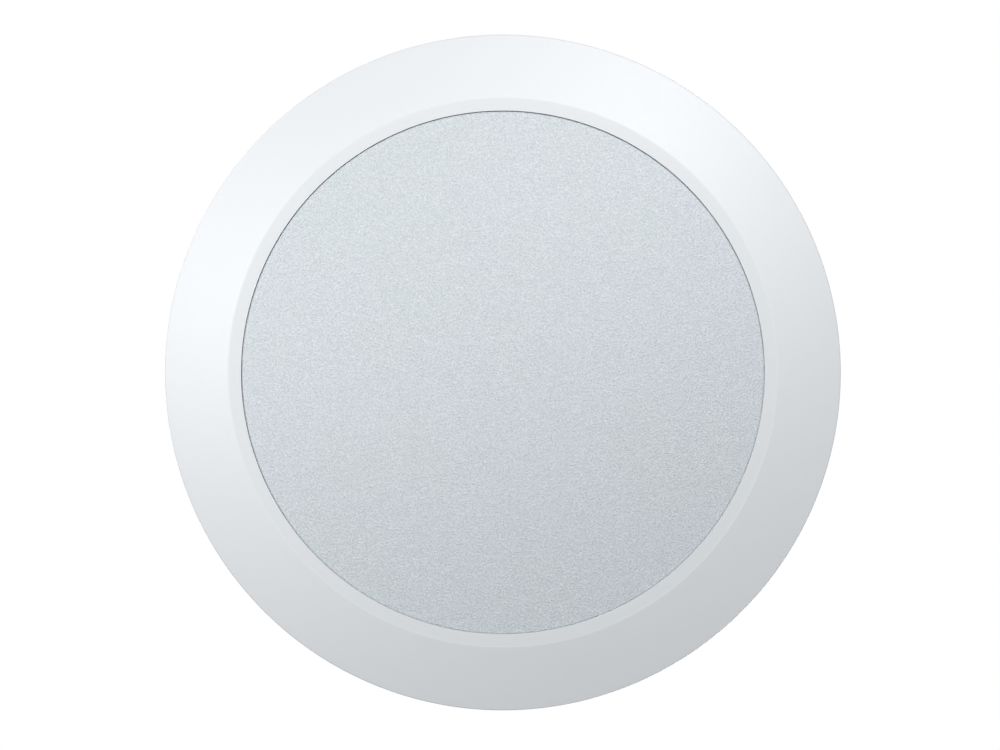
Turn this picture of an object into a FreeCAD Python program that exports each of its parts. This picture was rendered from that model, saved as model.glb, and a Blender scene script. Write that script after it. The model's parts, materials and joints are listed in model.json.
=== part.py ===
import FreeCAD, Part
import math
import os
import re
import Sketcher

# A slim recessed soffit downlight, millimetres. +Z points up into the soffit void and the light
# shines along -Z. The origin is on the light's axis, in the plane where the gasket meets the soffit.

SIZES = {
    # trim casting
    "trim_diameter": 120.0,
    "rim_depth": 2.5,
    "rim_lip": 1.2,
    "rim_round": 0.7,
    "lip_gap": 0.4,
    "flange_reach": 8.5,
    "ridge_depth": 4.6,
    "ring_width": 2.3,
    "ring_drop": 0.28,
    "ledge_width": 1.95,
    "ledge_thickness": 1.5,
    "body_wall": 3.2,
    # optics
    "gasket_thickness": 1.6,
    "gasket_inset": 1.1,
    "gasket_rim_gap": 0.3,
    "seal_thickness": 0.4,
    "lens_gap": 0.2,
    "lens_recess": 0.3,
    "lens_thickness": 2.4,
    "edge_gap": 0.3,
    "guide_thickness": 3.0,
    "reflector_thickness": 0.4,
    "foam_thickness": 2.4,
    "foam_inset": 0.5,
    "strip_thickness": 0.3,
    "strip_width": 5.0,
    "strip_wall_gap": 0.1,
    "strip_slit": 0.8,
    "chip_count": 48.0,
    "chip_length": 3.0,
    "chip_height": 1.4,
    "chip_depth": 0.8,
    # back plate
    "plate_thickness": 1.2,
    "plate_inset": 0.2,
    "plate_screw_count": 4.0,
    "plate_screw_angle": 45.0,
    "plate_screw_r": 1.0,
    "plate_screw_head_r": 1.5,
    "plate_screw_head": 1.2,
    "plate_screw_length": 5.0,
    "thread_gap": 0.05,
    "hole_gap": 0.2,
    "screw_tip_gap": 0.5,
    "head_round_share": 0.35,
    "recess_span_share": 0.55,
    "recess_bar_share": 0.14,
    "recess_floor_share": 0.4,
    # driver pod
    "pod_width": 56.0,
    "pod_length": 88.0,
    "pod_corner": 6.0,
    "pod_wall": 2.0,
    "pod_floor": 1.8,
    "pod_height": 22.6,
    "roof_thickness": 2.0,
    "split_gap": 0.3,
    "hinge_line": 19.55,
    "standoff_height": 3.0,
    "standoff_r": 3.0,
    "board_width": 38.0,
    "board_front": 41.5,
    "board_rear": 31.0,
    "board_thickness": 1.6,
    "board_screw_inset": 3.0,
    "board_screw_y": 28.0,
    "board_screw_r": 1.2,
    "board_screw_head_r": 2.3,
    "board_screw_head": 1.5,
    "cover_boss_x": 22.8,
    "cover_boss_front": 38.0,
    "cover_boss_rear": 10.0,
    "cover_boss_r": 3.1,
    "cover_screw_r": 1.25,
    "cover_screw_head_r": 2.4,
    "cover_screw_head": 1.6,
    "cover_screw_length": 8.0,
    "base_screw_x": 11.0,
    "base_screw_y": 17.0,
    "base_screw_r": 1.5,
    "base_screw_head_r": 2.7,
    "base_screw_head": 1.4,
    "partition_y": 14.5,
    "partition_thickness": 2.0,
    "hinge_pin_r": 1.0,
    "knuckle_r": 1.9,
    "knuckle_width": 16.0,
    "knuckle_outer": 8.0,
    "pin_head": 0.8,
    "pin_head_r": 1.6,
    "running_gap": 0.05,
    "flap_lip": 1.2,
    "flap_lip_depth": 1.5,
    "flap_tab": 1.4,
    "flap_tab_width": 16.0,
    # cable entry
    "cable_bore_r": 3.6,
    "grommet_neck_r": 6.0,
    "grommet_flange_r": 7.4,
    "grommet_flange": 1.6,
    "cable_height": 9.6,
    "clamp_post_x": 9.5,
    "clamp_post_r": 2.8,
    "clamp_y": 36.6,
    "clamp_room": 6.0,
    "clamp_saddle": 4.0,
    "clamp_bar": 2.4,
    "clamp_bar_width": 4.6,
    "clamp_screw_r": 1.25,
    "clamp_screw_head_r": 2.3,
    "clamp_screw_head": 1.5,
    "clamp_screw_length": 7.0,
    # parts on the board
    "component_round": 0.4,
    "component_gap": 0.3,
    "bulk_can_x": 4.2,
    "bulk_can_y": 9.6,
    "bulk_can_r": 4.0,
    "bulk_can_height": 14.0,
    "output_can_x": 3.5,
    "output_can_y": 19.0,
    "output_can_r": 4.0,
    "output_can_height": 12.0,
    "can_rim": 0.5,
    "can_vent_length": 4.8,
    "can_vent_width": 0.3,
    "can_vent_depth": 0.3,
    "varistor_x": 4.5,
    "varistor_y": 10.4,
    "varistor_r": 4.2,
    "varistor_thickness": 3.6,
    "varistor_lift": 0.4,
    "varistor_pitch": 4.0,
    "varistor_leg_r": 0.35,
    "core_y": 3.0,
    "core_width": 16.0,
    "core_depth": 12.0,
    "core_height": 9.0,
    "core_lift": 2.0,
    "core_leg": 2.4,
    "core_bridge": 1.4,
    "centre_leg_depth": 6.0,
    "winding_depth": 10.0,
    "bobbin_width": 15.2,
    "bobbin_height": 4.5,
    "front_rail": 4.7,
    "rear_rail": 2.0,
    "choke_x": 9.5,
    "choke_y": 23.5,
    "choke_r": 4.0,
    "choke_height": 9.0,
    "choke_disc": 1.2,
    "choke_post_r": 2.0,
    "choke_rim": 0.4,
    "resistor_length": 2.0,
    "resistor_width": 1.2,
    "resistor_height": 0.6,
    "resistor_row_x": 15.5,
    "resistor_row_y": 19.5,
    "resistor_row_pitch": 3.0,
    "resistor_column_x": 14.5,
    "resistor_column_y": 22.5,
    "resistor_column_pitch": 2.4,
    # selector switch
    "switch_length": 13.0,
    "switch_depth": 6.0,
    "switch_height": 5.0,
    "knob_width": 3.0,
    "knob_height": 2.0,
    "knob_travel": 2.0,
    "knob_gap": 0.3,
    "knob_reach": 1.5,
    "knob_root": 3.6,
    "grip_width": 0.4,
    "grip_depth": 0.4,
    # terminal block
    "block_width": 16.0,
    "block_depth": 10.0,
    "block_height": 9.6,
    "block_y": 20.0,
    "pole_pitch": 8.0,
    "wire_hole_r": 1.6,
    "wire_hole_height": 2.6,
    "well_depth": 5.0,
    "terminal_screw_r": 1.9,
    "terminal_screw_head": 1.6,
    "terminal_screw_drop": 2.8,
    "terminal_shank_r": 1.1,
    "terminal_shank_length": 2.2,
    # inside leads
    "lead_r": 0.55,
    "lead_spacing": 0.95,
    "lead_y": 25.0,
    "lead_height": 0.8,
    "lead_hole_r": 2.4,
    "lead_grommet_r": 3.6,
    "lead_grommet_rim": 1.0,
    "lead_channel": 4.4,
    "lead_bend_share": 0.45,
    # clips
    "clip_pin_x": 38.0,
    "clip_pin_r": 1.5,
    "clip_pin_head": 0.9,
    "clip_pin_head_r": 2.3,
    "clip_width": 17.6,
    "clip_sheet": 1.0,
    "clip_gap": 0.3,
    "ear_r": 3.3,
    "arm_reach": 19.5,
    "arm_ear_reach": 9.0,
    "arm_tip_width": 12.0,
    "ear_front_angle": 53.0,
    "ear_heel_angle": 60.0,
    "bracket_inner": 8.7,
    "bracket_outer": 7.0,
    "rivet_inset": 2.4,
    "rivet_y": 7.7,
    "rivet_r": 1.2,
    "rivet_head_r": 1.9,
    "rivet_head": 0.9,
    "rivet_dome": 0.72,
    "spring_wire": 1.2,
    "spring_mean_r": 2.7,
    "spring_turns": 5.0,
    "spring_pitch": 1.75,
    "spring_leg": 8.2,
    "spring_rest": 3.6,
    "sleeve_length": 7.0,
    "sleeve_wall": 0.8,
}

PLACES = {
    "trim_r": "trim_diameter / 2",
    "body_r": "trim_r - flange_reach",
    "bore_r": "body_r - body_wall",
    "aperture_r": "bore_r - ledge_width",
    "ridge_r": "aperture_r + ring_width",
    "ring_edge": "ring_drop - ridge_depth",
    "lens_face": "ring_edge + lens_recess",
    "ledge": "ring_edge + ledge_thickness",
    "seal_top": "ledge + seal_thickness",
    "lens_back": "lens_face + lens_thickness",
    "lens_r": "aperture_r - lens_gap",
    "lens_step_r": "bore_r - edge_gap",
    "strip_outer_r": "bore_r - strip_wall_gap",
    "strip_inner_r": "strip_outer_r - strip_thickness",
    "chip_back": "sqrt(strip_inner_r ^ 2 - (chip_length / 2) ^ 2)",
    "chip_inner_r": "chip_back - chip_depth",
    "guide_r": "chip_inner_r - edge_gap",
    "guide_back": "lens_back + guide_thickness",
    "guide_middle": "lens_back + guide_thickness / 2",
    "reflector_back": "guide_back + reflector_thickness",
    "plate_low": "reflector_back + foam_thickness",
    "plate_top": "plate_low + plate_thickness",
    "plate_r": "body_r - plate_inset",
    "plate_screw_circle": "body_r - body_wall / 2",
    "foam_r": "guide_r - foam_inset",
    "gasket_inner_r": "body_r + gasket_inset",
    "channel_outer_r": "trim_r - rim_lip",
    "gasket_outer_r": "channel_outer_r - gasket_rim_gap",
    "strip_top": "lens_back + strip_width",
    "pod_half_x": "pod_width / 2",
    "pod_half_y": "pod_length / 2",
    "room_half_x": "pod_half_x - pod_wall",
    "room_half_y": "pod_half_y - pod_wall",
    "floor_top": "plate_top + pod_floor",
    "board_half": "board_width / 2",
    "board_screw_x": "board_half - board_screw_inset",
    "board_low": "floor_top + standoff_height",
    "board_top": "board_low + board_thickness",
    "wall_top": "plate_top + pod_height",
    "roof_top": "wall_top + roof_thickness",
    "hinge_z": "roof_top + knuckle_r + split_gap",
    "roof_rear": "hinge_line - split_gap / 2",
    "flap_front": "hinge_line + split_gap / 2",
    "cable_z": "plate_top + cable_height",
    "saddle_top": "floor_top + clamp_saddle",
    "post_top": "saddle_top + clamp_room",
    "clamp_top": "post_top + clamp_bar",
    "knob_z": "board_top + switch_height / 2",
    "switch_front": "0 - board_front",
    "lead_z": "reflector_back + lead_height",
    "bracket_top": "plate_top + clip_sheet",
    "arm_low": "bracket_top + clip_gap",
    "arm_top": "arm_low + clip_sheet",
    "pin_z": "arm_top + spring_wire / 2 + spring_mean_r",
    "arm_half": "clip_width / 2",
    "bracket_half": "arm_half + clip_gap + clip_sheet",
    "bracket_start": "clip_pin_x - bracket_inner",
    "bracket_end": "clip_pin_x + bracket_outer",
    "arm_tip": "clip_pin_x + arm_reach",
    "rivet_x": "bracket_start + rivet_inset",
    "coil_half": "spring_turns * spring_pitch / 2",
}

document = FreeCAD.newDocument("SoffitDownlight")


def tied(formula):
    """The formula with each size or place written as a reference to its sheet."""
    def reference(match):
        word = match.group(0)
        if word in SIZES:
            return "Sizes." + word
        return "Places." + word if word in PLACES else word
    return re.sub(r"[a-z][a-z_]+", reference, formula)


def make_sheets():
    sizes = document.addObject("Spreadsheet::Sheet", "Sizes")
    for row, (name, size) in enumerate(SIZES.items(), 1):
        sizes.set(f"A{row}", name)
        sizes.set(f"B{row}", str(size))
        sizes.setAlias(f"B{row}", name)
    places = document.addObject("Spreadsheet::Sheet", "Places")
    for row, (name, formula) in enumerate(PLACES.items(), 1):
        places.set(f"A{row}", name)
        places.set(f"B{row}", "=" + tied(formula).replace("Places.", ""))
        places.setAlias(f"B{row}", name)
    document.recompute()
    return sizes


sheet = make_sheets()


def value(formula):
    return float(sheet.evalExpression(tied(formula)))


def point(x, y, z):
    return FreeCAD.Vector(value(x), value(y), value(z))


# ---- drawing helpers ----

def origin_feature(body, role):
    return [item for item in body.Origin.OriginFeatures if item.Role == role][0]


def new_body(name):
    body = document.addObject("PartDesign::Body", name)
    body.Label = name
    body.AllowCompound = True
    return body


def hold(sketch, held):
    """Adds the constraints, each with the formula that drives it, or None."""
    numbers = sketch.addConstraint([constraint for constraint, formula in held])
    for number, (constraint, formula) in zip(numbers, held):
        if formula:
            sketch.setExpression(f"Constraints[{number}]", tied(formula))


def draw_circle(sketch, circle):
    x, y, radius = circle
    centre = FreeCAD.Vector(value(x), value(y), 0)
    number = sketch.addGeometry(Part.Circle(centre, FreeCAD.Vector(0, 0, 1), value(radius)))
    hold(sketch, [(Sketcher.Constraint("DistanceX", number, 3, centre.x), x),
                  (Sketcher.Constraint("DistanceY", number, 3, centre.y), y),
                  (Sketcher.Constraint("Radius", number, value(radius)), radius)])


def draw_polygon(sketch, corners):
    spots = [FreeCAD.Vector(value(x), value(y), 0) for x, y in corners]
    first = sketch.GeometryCount
    count = len(corners)
    for index, spot in enumerate(spots):
        sketch.addGeometry(Part.LineSegment(spot, spots[(index + 1) % count]))
    held = []
    for index, (x, y) in enumerate(corners):
        number = first + index
        following = first + (index + 1) % count
        held.append((Sketcher.Constraint("Coincident", number, 2, following, 1), None))
        held.append((Sketcher.Constraint("DistanceX", number, 1, spots[index].x), x))
        held.append((Sketcher.Constraint("DistanceY", number, 1, spots[index].y), y))
    hold(sketch, held)


def new_sketch(body, name, role, offset, outlines):
    sketch = body.newObject("Sketcher::SketchObject", name + "_sketch")
    sketch.AttachmentSupport = [(origin_feature(body, role), "")]
    sketch.MapMode = "FlatFace"
    sketch.setExpression("AttachmentOffset.Base.z", tied(offset))
    for outline in outlines:
        if isinstance(outline, tuple):
            draw_circle(sketch, outline)
        else:
            draw_polygon(sketch, outline)
    return sketch


def rectangle(low_x, high_x, low_y, high_y):
    return [(low_x, low_y), (high_x, low_y), (high_x, high_y), (low_x, high_y)]


def volume(body):
    return 0.0 if body.Shape.isNull() else body.Shape.Volume


def settle(body, feature, before, cutting):
    document.recompute()
    change = volume(body) - before
    if (change >= 0) if cutting else (change <= 0):
        raise RuntimeError(f"{feature.Name} changed nothing on {body.Label}")
    return feature


def extrude(body, kind, name, role, outlines, low, high):
    """A Pad or Pocket between two levels on the axis that the plane faces."""
    before = volume(body)
    offset = f"0 - ({high})" if role == "XZ_Plane" else low
    feature = body.newObject("PartDesign::" + kind, name)
    feature.Profile = new_sketch(body, name, role, offset, outlines)
    feature.setExpression("Length", tied(f"({high}) - ({low})"))
    feature.Reversed = kind == "Pocket"
    return settle(body, feature, before, kind == "Pocket")


def pad(body, name, role, outlines, low, high):
    return extrude(body, "Pad", name, role, outlines, low, high)


def pocket(body, name, role, outlines, low, high):
    return extrude(body, "Pocket", name, role, outlines, low, high)


def turn(body, name, outlines, cutting=False, angle="360"):
    """A revolution, or a groove, of a section in the XZ plane about Z."""
    before = volume(body)
    feature = body.newObject("PartDesign::Groove" if cutting else "PartDesign::Revolution", name)
    feature.Profile = new_sketch(body, name, "XZ_Plane", "0", outlines)
    feature.ReferenceAxis = (origin_feature(body, "Z_Axis"), [""])
    feature.setExpression("Angle", tied(angle))
    return settle(body, feature, before, cutting)


def repeat_round(body, feature, count):
    pattern = body.newObject("PartDesign::PolarPattern", feature.Name + "_round")
    pattern.Originals = [feature]
    pattern.Axis = (origin_feature(body, "Z_Axis"), [""])
    pattern.Angle = 360
    pattern.setExpression("Occurrences", tied(count))
    body.Tip = pattern
    document.recompute()
    return pattern


def soften(body, name, radius, wanted, kind="Fillet"):
    """Rounds or bevels the edges that the test picks."""
    base = body.Tip
    names = [f"Edge{n}" for n, edge in enumerate(base.Shape.Edges, 1) if wanted(edge)]
    if not names:
        raise RuntimeError(f"{name} found no edge on {body.Label}")
    feature = body.newObject("PartDesign::" + kind, name)
    feature.Base = (base, names)
    feature.setExpression("Radius" if kind == "Fillet" else "Size", tied(radius))
    document.recompute()
    return feature


def upright(edge):
    ends = [vertex.Point for vertex in edge.Vertexes]
    return len(ends) == 2 and abs(ends[0].x - ends[1].x) + abs(ends[0].y - ends[1].y) < 1e-6


def upright_near(x, y, reach=0.6):
    """Picks upright edges at a corner and at its three mirror corners."""
    def test(edge):
        middle = edge.CenterOfMass
        close = abs(abs(middle.x) - value(x)) < reach and abs(abs(middle.y) - value(y)) < reach
        return upright(edge) and close
    return test


def at_level(level):
    def test(edge):
        return all(abs(vertex.Z - value(level)) < 1e-4 for vertex in edge.Vertexes)
    return test


# ---- trim and optics ----

def trim_ring():
    body = new_body("trim_ring")
    floor = "0 - gasket_thickness"
    turn(body, "casting", [[
        ("aperture_r", "ring_edge"),
        ("ridge_r", "0 - ridge_depth"),
        ("trim_r", "0 - rim_depth"),
        ("trim_r", "0 - lip_gap"),
        ("channel_outer_r", "0 - lip_gap"),
        ("channel_outer_r", floor),
        ("body_r", floor),
        ("body_r", "plate_low"),
        ("bore_r", "plate_low"),
        ("bore_r", "ledge"),
        ("aperture_r", "ledge"),
    ]])
    soften(body, "rim_rounding", "rim_round", at_level("0 - rim_depth"))
    hole = (*plate_screw_spots()[0], "plate_screw_r + thread_gap")
    bored = pocket(body, "screw_hole", "XY_Plane", [hole],
                   "plate_low - plate_screw_length", "plate_low")
    repeat_round(body, bored, "plate_screw_count")


def washer(name, inner, outer, low, high):
    body = new_body(name)
    turn(body, name + "_turned", [rectangle(inner, outer, low, high)])
    return body


def disc(name, radius, low, high):
    body = new_body(name)
    pad(body, name + "_disc", "XY_Plane", [("0", "0", radius)], low, high)
    return body


def diffuser_lens():
    body = disc("diffuser_lens", "lens_r", "lens_face", "lens_back")
    pad(body, "lens_step", "XY_Plane", [("0", "0", "lens_step_r")], "seal_top", "lens_back")


def led_strip():
    body = washer("led_strip", "strip_inner_r", "strip_outer_r", "lens_back", "strip_top")
    pocket(body, "strip_end_slit", "XY_Plane",
           [rectangle("0 - strip_slit / 2", "strip_slit / 2", "0 - body_r", "0 - guide_r")],
           "lens_back", "strip_top")


def led_chips():
    body = new_body("led_chips")
    block = rectangle("0 - chip_length / 2", "chip_length / 2",
                      "guide_middle - chip_height / 2", "guide_middle + chip_height / 2")
    chip = pad(body, "chip", "XZ_Plane", [block], "0 - chip_back", "chip_depth - chip_back")
    repeat_round(body, chip, "chip_count")
    half_step = FreeCAD.Rotation(FreeCAD.Vector(0, 0, 1), value("180 / chip_count"))
    body.Placement = FreeCAD.Placement(FreeCAD.Vector(), half_step)


def foam_pad():
    body = disc("foam_pad", "foam_r", "reflector_back", "plate_low")
    half = "lead_channel / 2"
    slot = rectangle("0 - " + half, half, "0 - guide_r", "lead_channel / 2 - lead_y")
    pocket(body, "lead_channel_cut", "XY_Plane", [slot], "reflector_back", "plate_low")


# ---- fasteners ----

def screws(name, spots, seat, shank_r, length, head_r, head):
    """Pan head screws at the spots, one node: shank below the seat, slotted head above it."""
    body = new_body(name)
    pad(body, name + "_shank", "XY_Plane", [(x, y, shank_r) for x, y in spots],
        f"{seat} - ({length})", seat)
    pad(body, name + "_head", "XY_Plane", [(x, y, head_r) for x, y in spots],
        seat, f"{seat} + {head}")
    top = value(f"{seat} + {head}")
    soften(body, name + "_rounding", f"{head} * head_round_share",
           lambda edge: abs(edge.CenterOfMass.z - top) < 1e-4)
    bars = []
    for x, y in spots:
        wide, thin = f"{head_r} * recess_span_share", f"{head_r} * recess_bar_share"
        bars.append([
            (f"{x} - {wide}", f"{y} - {thin}"), (f"{x} - {thin}", f"{y} - {thin}"),
            (f"{x} - {thin}", f"{y} - {wide}"), (f"{x} + {thin}", f"{y} - {wide}"),
            (f"{x} + {thin}", f"{y} - {thin}"), (f"{x} + {wide}", f"{y} - {thin}"),
            (f"{x} + {wide}", f"{y} + {thin}"), (f"{x} + {thin}", f"{y} + {thin}"),
            (f"{x} + {thin}", f"{y} + {wide}"), (f"{x} - {thin}", f"{y} + {wide}"),
            (f"{x} - {thin}", f"{y} + {thin}"), (f"{x} - {wide}", f"{y} + {thin}"),
        ])
    pocket(body, name + "_cross", "XY_Plane", bars,
           f"{seat} + {head} * recess_floor_share", f"{seat} + {head}")
    return body


def four(x, y, front=None):
    """Four spots, mirrored in X, at +y and at -y or -front."""
    near = front or y
    return [(x, y), ("0 - " + x, y), (x, "0 - " + near), ("0 - " + x, "0 - " + near)]


def plate_screw_spots():
    spots = []
    for number in range(int(SIZES["plate_screw_count"])):
        angle = f"(plate_screw_angle + {number} * 360 / plate_screw_count)"
        spots.append((f"plate_screw_circle * cos({angle})", f"plate_screw_circle * sin({angle})"))
    return spots


BOARD_SCREWS = [("board_screw_x", "board_screw_y"), ("0 - board_screw_x", "board_screw_y"),
                ("board_screw_x", "0 - board_screw_y"), ("0 - board_screw_x", "0 - board_screw_y")]
COVER_SCREWS = four("cover_boss_x", "cover_boss_rear", "cover_boss_front")
BASE_SCREWS = four("base_screw_x", "base_screw_y")
CLAMP_SCREWS = [("clamp_post_x", "clamp_y"), ("0 - clamp_post_x", "clamp_y")]


def back_plate():
    body = disc("back_plate", "plate_r", "plate_low", "plate_top")
    hole_r = "plate_screw_r + hole_gap"
    pocket(body, "rim_holes", "XY_Plane", [(x, y, hole_r) for x, y in plate_screw_spots()],
           "plate_low", "plate_top")
    pocket(body, "base_holes", "XY_Plane",
           [(x, y, "base_screw_r + thread_gap") for x, y in BASE_SCREWS], "plate_low", "plate_top")
    rivets = [(f"{sign}(rivet_x)", f"{side}rivet_y", "rivet_r + thread_gap")
              for sign in ("", "0 - ") for side in ("", "0 - ")]
    pocket(body, "rivet_holes", "XY_Plane", rivets, "plate_low", "plate_top")
    pocket(body, "lead_hole", "XY_Plane", [("0", "0 - lead_y", "lead_grommet_r + thread_gap")],
           "plate_low", "plate_top")


# ---- driver pod ----

def pod_outline(half_x, low_y, high_y):
    return [rectangle(f"0 - {half_x}", half_x, low_y, high_y)]


def knob_room():
    """The window that the selector's knob slides in."""
    half = "(knob_width / 2 + knob_travel + knob_gap)"
    return rectangle("0 - " + half, half,
                     "knob_z - knob_height / 2 - knob_gap", "knob_z + knob_height / 2 + knob_gap")


def driver_base():
    body = new_body("driver_base")
    pad(body, "tray", "XY_Plane", pod_outline("pod_half_x", "0 - pod_half_y", "pod_half_y"),
        "plate_top", "wall_top")
    soften(body, "tray_corners", "pod_corner", upright_near("pod_half_x", "pod_half_y"))
    pocket(body, "tray_room", "XY_Plane",
           pod_outline("room_half_x", "0 - room_half_y", "room_half_y"), "floor_top", "wall_top")
    soften(body, "room_corners", "pod_corner - pod_wall", upright_near("room_half_x", "room_half_y"))
    pad(body, "standoffs", "XY_Plane", [(x, y, "standoff_r") for x, y in BOARD_SCREWS],
        "floor_top", "board_low")
    pad(body, "cover_bosses", "XY_Plane", [(x, y, "cover_boss_r") for x, y in COVER_SCREWS],
        "floor_top", "wall_top")
    pad(body, "clamp_posts", "XY_Plane", [(x, y, "clamp_post_r") for x, y in CLAMP_SCREWS],
        "floor_top", "post_top")
    pad(body, "clamp_saddle_rib", "XY_Plane",
        [rectangle("0 - clamp_post_x", "clamp_post_x",
                   "clamp_y - clamp_bar_width / 4", "clamp_y + clamp_bar_width / 4")],
        "floor_top", "saddle_top")
    pocket(body, "standoff_holes", "XY_Plane",
           [(x, y, "board_screw_r + thread_gap") for x, y in BOARD_SCREWS], "floor_top", "board_low")
    pocket(body, "cover_holes", "XY_Plane",
           [(x, y, "cover_screw_r + thread_gap") for x, y in COVER_SCREWS],
           "wall_top - cover_screw_length", "wall_top")
    pocket(body, "clamp_holes", "XY_Plane",
           [(x, y, "clamp_screw_r + thread_gap") for x, y in CLAMP_SCREWS],
           "post_top - clamp_screw_length", "post_top")
    pocket(body, "floor_holes", "XY_Plane",
           [(x, y, "base_screw_r + hole_gap") for x, y in BASE_SCREWS], "plate_top", "floor_top")
    pocket(body, "lead_floor_hole", "XY_Plane",
           [("0", "0 - lead_y", "lead_grommet_r + thread_gap")], "plate_top", "floor_top")
    pocket(body, "cable_hole", "XZ_Plane", [("0", "cable_z", "grommet_neck_r")],
           "room_half_y", "pod_half_y")
    pocket(body, "knob_slot", "XZ_Plane", [knob_room()], "0 - pod_half_y", "0 - room_half_y")


def knuckle(body, name, low, high):
    """A hinge knuckle about the flap's pin line, from low to high along X."""
    return pad(body, name, "YZ_Plane", [("hinge_line", "hinge_z", "knuckle_r")], low, high)


def driver_cover():
    body = new_body("driver_cover")
    pad(body, "roof", "XY_Plane", pod_outline("pod_half_x", "0 - pod_half_y", "roof_rear"),
        "wall_top", "roof_top")
    front = value("0 - pod_half_y")
    soften(body, "roof_corners", "pod_corner",
           lambda edge: upright(edge) and abs(edge.CenterOfMass.y - front) < 1e-4)
    soften(body, "roof_edge", "roof_thickness / 4", at_level("roof_top"))
    pad(body, "partition", "XY_Plane",
        pod_outline("(room_half_x - split_gap)", "partition_y", "partition_y + partition_thickness"),
        "board_top + split_gap", "wall_top")
    outer = "knuckle_width / 2 + split_gap"
    far = f"{outer} + knuckle_outer"
    for side, low, high in (("right", outer, far), ("left", f"0 - ({far})", f"0 - ({outer})")):
        pad(body, side + "_web", "XY_Plane",
            [rectangle(low, high, "hinge_line - knuckle_r", "roof_rear")], "roof_top", "hinge_z")
        knuckle(body, side + "_knuckle", low, high)
    pocket(body, "pin_bore", "YZ_Plane", [("hinge_line", "hinge_z", "hinge_pin_r + running_gap")],
           f"0 - ({far})", far)
    pocket(body, "cover_holes", "XY_Plane",
           [(x, y, "cover_screw_r + hole_gap") for x, y in COVER_SCREWS], "wall_top", "roof_top")


def terminal_cover():
    body = new_body("terminal_cover")
    pad(body, "flap", "XY_Plane", pod_outline("pod_half_x", "flap_front", "pod_half_y"),
        "wall_top", "roof_top")
    rear = value("pod_half_y")
    soften(body, "flap_corners", "pod_corner",
           lambda edge: upright(edge) and abs(edge.CenterOfMass.y - rear) < 1e-4)
    soften(body, "flap_edge", "roof_thickness / 4", at_level("roof_top"))
    inner = "(room_half_x - split_gap - flap_lip)"
    outer = "(room_half_x - split_gap)"
    low, high = "flap_front + split_gap", "pod_half_y - pod_corner"
    pad(body, "flap_lips", "XY_Plane",
        [rectangle(inner, outer, low, high), rectangle("0 - " + outer, "0 - " + inner, low, high)],
        "wall_top - flap_lip_depth", "wall_top")
    half = "knuckle_width / 2"
    pad(body, "flap_web", "XY_Plane",
        [rectangle("0 - " + half, half, "flap_front", "hinge_line + knuckle_r")],
        "roof_top", "hinge_z")
    knuckle(body, "flap_knuckle", "0 - " + half, half)
    pocket(body, "flap_bore", "YZ_Plane", [("hinge_line", "hinge_z", "hinge_pin_r + running_gap")],
           "0 - " + half, half)
    pad(body, "finger_tab", "XY_Plane",
        [rectangle("0 - flap_tab_width / 2", "flap_tab_width / 2",
                   "pod_half_y - pod_wall", "pod_half_y + flap_tab")],
        "wall_top + roof_thickness / 4", "wall_top + roof_thickness * 3 / 4")


def terminal_cover_pin():
    body = new_body("terminal_cover_pin")
    end = "(knuckle_width / 2 + split_gap + knuckle_outer)"
    pad(body, "pin_shank", "YZ_Plane", [("hinge_line", "hinge_z", "hinge_pin_r")],
        f"0 - {end}", end)
    for side, low, high in (("near", end, end + " + pin_head"),
                            ("far", f"0 - ({end} + pin_head)", f"0 - {end}")):
        pad(body, side + "_pin_head", "YZ_Plane", [("hinge_line", "hinge_z", "pin_head_r")], low, high)


def driver_board():
    body = new_body("driver_board")
    pad(body, "board", "XY_Plane",
        [rectangle("0 - board_width / 2", "board_width / 2", "0 - board_front", "board_rear")],
        "board_low", "board_top")
    pocket(body, "board_holes", "XY_Plane",
           [(x, y, "board_screw_r + hole_gap") for x, y in BOARD_SCREWS], "board_low", "board_top")


def box(name, low_x, high_x, low_y, high_y, low, high, rounding=None):
    body = new_body(name)
    pad(body, name + "_block", "XY_Plane", [rectangle(low_x, high_x, low_y, high_y)], low, high)
    if rounding:
        soften(body, name + "_rounding", rounding, upright)
    return body


# x, y, size along x, size along y and height of each boxed component on the board
BOXED = {
    "bridge_rectifier": (-13.5, 12.0, 7.0, 4.0, 5.0),
    "safety_capacitor": (12.0, 6.5, 6.0, 13.0, 11.0),
    "fuse": (-13.5, 3.0, 8.4, 4.2, 8.0),
    "controller_chip": (12.5, -7.0, 3.9, 4.9, 1.6),
    "switching_transistor": (-13.5, -14.0, 6.6, 6.2, 2.4),
    "output_diode": (13.5, -14.5, 4.3, 3.6, 2.2),
}


def boxed_components():
    for name, (x, y, width, depth, height) in BOXED.items():
        box(name, f"{x} - {width} / 2", f"{x} + {width} / 2", f"{y} - {depth} / 2",
            f"{y} + {depth} / 2", "board_top", f"board_top + {height}", "component_round")


def standing_can(name, x, y, radius, height):
    body = new_body(name)
    pad(body, name + "_can", "XY_Plane", [(x, y, radius)], "board_top", f"board_top + {height}")
    top = value(f"board_top + {height}")
    soften(body, name + "_rim", "can_rim", lambda edge: abs(edge.CenterOfMass.z - top) < 1e-4)
    vent = rectangle(f"{x} - can_vent_length / 2", f"{x} + can_vent_length / 2",
                     f"{y} - can_vent_width / 2", f"{y} + can_vent_width / 2")
    pocket(body, name + "_vent", "XY_Plane", [vent],
           f"board_top + {height} - can_vent_depth", f"board_top + {height}")


def varistor():
    body = new_body("varistor")
    middle = "board_top + varistor_lift + varistor_r"
    pad(body, "varistor_disc", "XZ_Plane", [("0 - varistor_x", middle, "varistor_r")],
        "varistor_y - varistor_thickness / 2", "varistor_y + varistor_thickness / 2")
    pad(body, "varistor_legs", "XY_Plane",
        [(f"{side}varistor_pitch / 2 - varistor_x", "varistor_y", "varistor_leg_r") for side in ("", "0 - ")],
        "board_top", middle + " - varistor_r / 2")


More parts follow.
